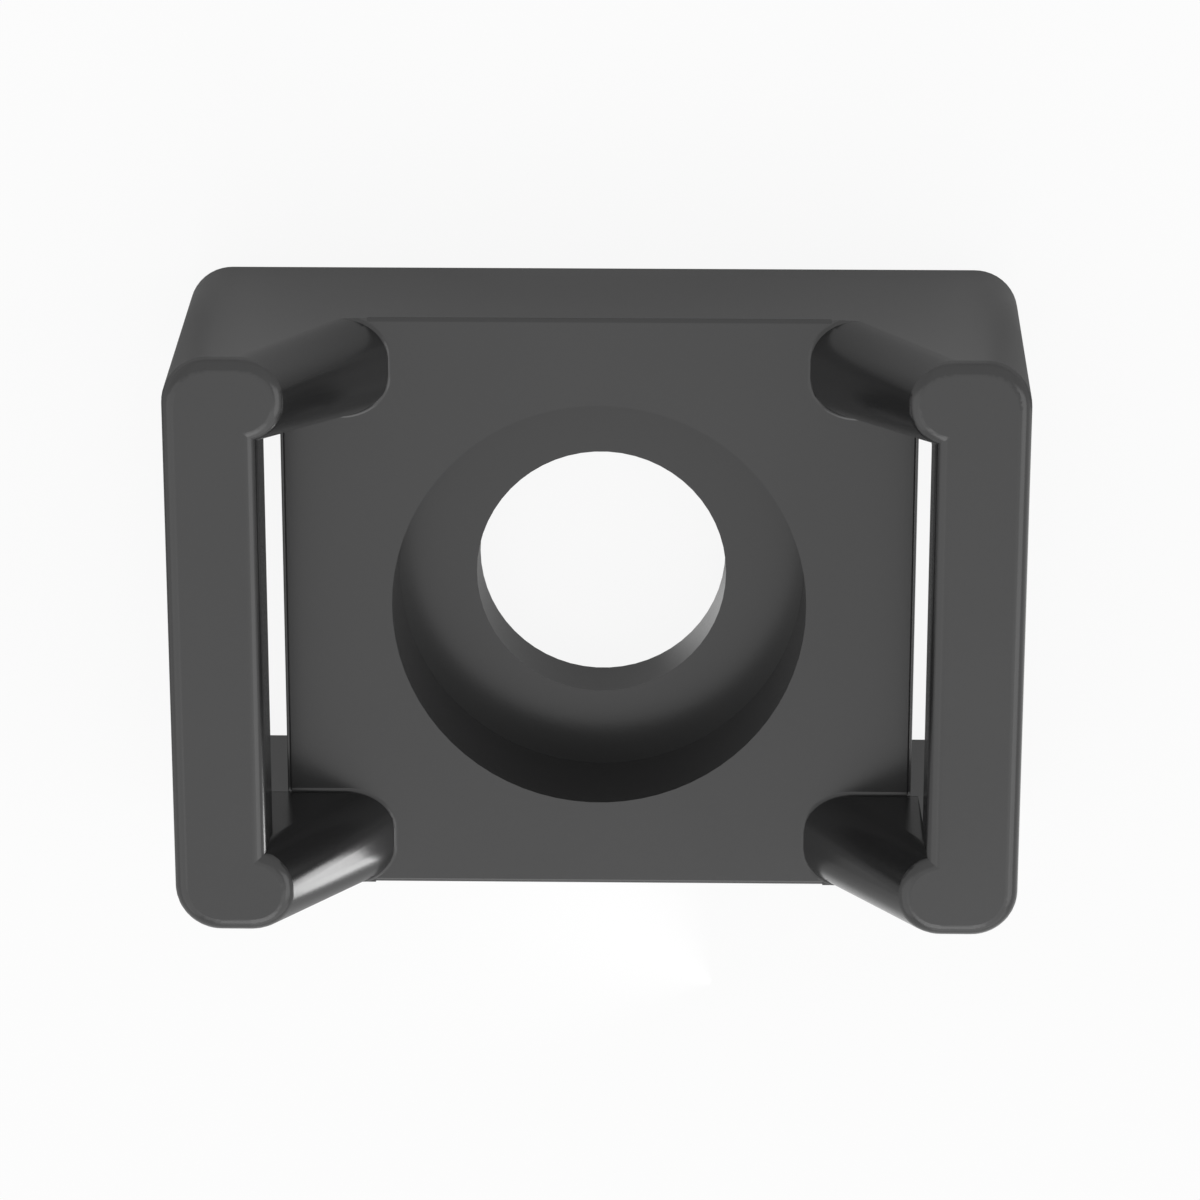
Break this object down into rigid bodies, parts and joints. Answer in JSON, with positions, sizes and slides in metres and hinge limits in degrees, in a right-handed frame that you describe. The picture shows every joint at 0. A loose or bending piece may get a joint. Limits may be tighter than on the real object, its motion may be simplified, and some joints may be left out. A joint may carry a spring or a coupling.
{
  "type": "cable tie mount",
  "caption": "Rectangular moulded mount with a central counterbored screw hole and a raised bar at each end for threading a cable tie over a cradle.",
  "frame": {"origin": "on the screw axis, at the flat underside that rests on the panel", "axes": "+Z along the screw axis away from the panel, +X from one tie bar to the other, +Y along the tie bars"},
  "size_m": [0.0226, 0.016, 0.0096],
  "materials": {
    "tie_mount": "fine satin moulded nylon, black"
  },
  "bodies": {
    "root": {"tie_mount": "tie_mount"}
  },
  "joints": []
}
